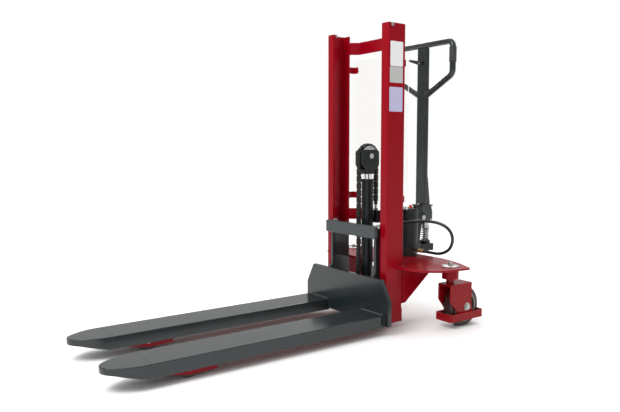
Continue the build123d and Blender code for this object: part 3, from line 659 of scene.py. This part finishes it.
for fork in ("fork_right", "fork_left"):
    low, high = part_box(fork)
    seam_y = low.y + tip_seam
    corners = [(low.x, seam_y, high.z - 0.030), (low.x, seam_y, high.z)]
    corners += [(high.x, seam_y, high.z), (high.x, seam_y, high.z - 0.030)]
    runs.append(bead(corners, seam_weld))
make("grey_weld_runs", *joined(*runs), "carriage", "fork_grey", grey)
low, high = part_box("carriage_side_left")
studs = []
stud_collar = [(0, 0.0140), (0.010, 0.0140), (0.0110, 0.0135), (0.0110, 0.009)]
stud_head = [(0.0108, 0.0088), (0.0158, 0.0088), (0.0168, 0.0078)]
for x in (low.x + 0.0075, -low.x - 0.0075):
    place = (x, low.y + 0.046, high.z)
    studs.append(turned(place, (0, 0, 1), stud_collar))
    studs.append(turned(place, (0, 0, 1), stud_head, steps=6))
crisp(make("carriage_bolts", *joined(*studs), "carriage", "zinc", zinc), 20)


# Hand pump.
# A cast block on a black foot, with a drawn oil tank over it. The tank has a spun seam and a
# screwed orange filler cap with grip flutes, and beside it a black breather plug.
black = coating("black_metal", (0.007, 0.007, 0.008), (0.016, 0.016, 0.017), patch=30.0,
                rough=(0.26, 0.40), grain=700)
dressed("pump_foot", black, 0.0010)
for node in ("oil_tank", "tank_lid", "pump_block"):
    dressed(node, dark, 0.0010)
dressed("breather_plug", black, 0.0008)
dressed("pump_plunger", machined, 0.0006)
tank_low, tank_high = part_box("oil_tank")
tank_centre = (tank_low + tank_high) / 2
tank_seam = 0.0020
seam = circle((tank_centre.x, tank_centre.y), tank_high.x + 0.0002, tank_low.z + 0.001, 60)
make("tank_seams", *bead(seam, tank_seam), "frame", "pump_grey", dark)
orange = coating("orange_cap", (0.52, 0.060, 0.006), (0.66, 0.095, 0.012), patch=60.0,
                 rough=(0.26, 0.36), grain=900, coat=0.3)
low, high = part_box("filler_cap")
foot = Vector(((low.x + high.x) / 2, (low.y + high.y) / 2, low.z))
tall, wide = high.z - low.z, (high.x - low.x) / 2
cap = turned(foot, (0, 0, 1), [(0, wide), (0.003, wide), (0.0035, wide - 0.0006)], 64)
grip = [(0.0034, wide - 0.0006), (tall - 0.002, wide - 0.0008), (tall - 0.0006, wide - 0.002)]
grip += [(tall, wide - 0.004), (tall - 0.001, 0.003), (tall - 0.001, 0.001)]
cap = joined(cap, turned(foot, (0, 0, 1), grip, 64, flutes=16, cut=0.0009))
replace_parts(crisp(make("fluted_filler_cap", *cap, "frame", "cap_orange", orange)), "filler_cap")


# Plunger spring.
# A coil of plated wire, closed at both ends, between the pump block's sleeve and the plunger's
# retainer. It shuts as the handle drives the plunger down.
spring_finish = coating("plated_spring_wire", (0.06, 0.058, 0.052), (0.22, 0.21, 0.19), patch=300.0,
                        rough=(0.22, 0.36), grain=1200, metal=0.9)
low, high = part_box("plunger_spring")
wire, turns, dead = 0.0023, 6.2, 0.12
coil = (high.x - low.x) / 2 - wire
foot = Vector(((low.x + high.x) / 2, (low.y + high.y) / 2, low.z))
spring_tall = high.z - low.z
rings, sides = 220, 10
points, faces = [], []
for ring in range(rings + 1):
    share = ring / rings
    climb = min(1.0, max(0.0, (share - dead) / (1 - 2 * dead)))
    closed = 2 * wire * min(1.0, share / dead) + 2 * wire * max(0.0, (share - 1 + dead) / dead)
    level = wire + closed + climb * (spring_tall - 6 * wire)
    angle = 2 * pi * turns * share
    spoke = Vector((cos(angle), sin(angle), 0))
    for step in range(sides):
        around = 2 * pi * step / sides
        points.append(foot + spoke * (coil + wire * cos(around)) + Vector((0, 0,
                                                                           level + wire * sin(around))))
for ring in range(rings):
    for step in range(sides):
        here, turn = ring * sides, (step + 1) % sides
        faces.append((here + step, here + sides + step, here + sides + turn, here + turn))
faces.append(tuple(range(sides)))
faces.append(tuple(reversed(range(len(points) - sides, len(points)))))
spring = make("plunger_coil", points, faces, "frame", "spring_steel", spring_finish)
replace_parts(spring, "plunger_spring")
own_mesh(spring)


# Handle.
# A flat bar pinned in a fabricated socket, with a loop of bent tube on top. Black rubber
# sleeves are pushed over the loop's sides, and a black lever hangs at its middle.
for node in ("handle_socket", "tow_bar"):
    dressed(node, grey, 0.0012)
dressed("handle_loop", grey)
dressed("control_lever", black, 0.0010)
dressed("pressure_roller", machined, 0.0006)
dressed("handle_pins", zinc, 0.0005)
dressed("pivot_pin", zinc, 0.0006)
bar_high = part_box("tow_bar")[1]
rib_thick, rib_low, rib_high, rib_deep = 0.005, 0.515, 0.655, 0.017
rib_edge = [(bar_high.y - 0.004, rib_low), (bar_high.y + rib_deep, rib_low),
            (bar_high.y + rib_deep, rib_low + 0.012)]
rib_edge += [(bar_high.y + 0.001, rib_high), (bar_high.y - 0.004, rib_high)]
ribs = []
for inner in (bar_high.x - rib_thick - 0.0005, 0.0005 - bar_high.x):
    rib_points = [Vector((inner + across, y, z)) for across in (0, rib_thick) for y, z in rib_edge]
    rib_faces = [(4, 3, 2, 1, 0), (5, 6, 7, 8, 9)]
    rib_faces += [(i, (i + 1) % 5, 5 + (i + 1) % 5, 5 + i) for i in range(5)]
    ribs.append((rib_points, rib_faces))
make("bar_ribs", *joined(*ribs), "handle", "fork_grey", grey, smooth=False)
rib_weld, loop_weld, loop_weld_ends = 0.0016, 0.0022, (1.060, 1.085)
rib_x = bar_high.x - 0.0065
bar_welds = [bead([(hand * rib_x, bar_high.y, z) for z in (rib_low, rib_high)], rib_weld)
             for hand in (1, -1)]
loop_low, loop_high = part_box("handle_loop")
loop_middle = (loop_low.y + loop_high.y) / 2
for hand in (1, -1):
    for y in (loop_middle - 0.008, loop_middle + 0.008):
        bar_welds.append(bead([(hand * bar_high.x, y, z) for z in loop_weld_ends], loop_weld))
make("handle_welds", *joined(*bar_welds), "handle", "fork_grey", grey)
rubber = coating("grip_rubber", (0.014, 0.017, 0.015), (0.026, 0.031, 0.028), patch=70.0,
                 rough=(0.46, 0.62), grain=1100, depth=0.08)
low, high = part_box("hand_grips")
grip_radius = (high.y - low.y) / 2
grip_tall = high.z - low.z
grip_bore, rib_pitch = 0.0143, 0.0045
groove, crest = grip_radius - 0.0012, grip_radius - 0.0005
sleeve = [(0, grip_bore), (0, grip_radius - 0.001), (0.001, grip_radius), (0.0035, grip_radius)]
sleeve.append((0.0045, groove))
for rib in range(int((grip_tall - 0.009) / rib_pitch)):
    at = 0.0052 + rib * rib_pitch
    sleeve += [(at, groove), (at + 0.0009, crest), (at + 0.0027, crest), (at + 0.0036, groove)]
sleeve += [(grip_tall - 0.0035, groove), (grip_tall - 0.0025, grip_radius)]
sleeve += [(grip_tall - 0.001, grip_radius), (grip_tall, grip_radius - 0.001),
           (grip_tall, grip_bore)]
across = high.x - grip_radius
grips = [turned((x, (low.y + high.y) / 2, low.z), (0, 0, 1), sleeve, 40, ring=True)
         for x in (across, -across)]
sleeves = make("rubber_sleeves", *joined(*grips), "handle", "grip_rubber", rubber)
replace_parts(crisp(sleeves, 40), "hand_grips")
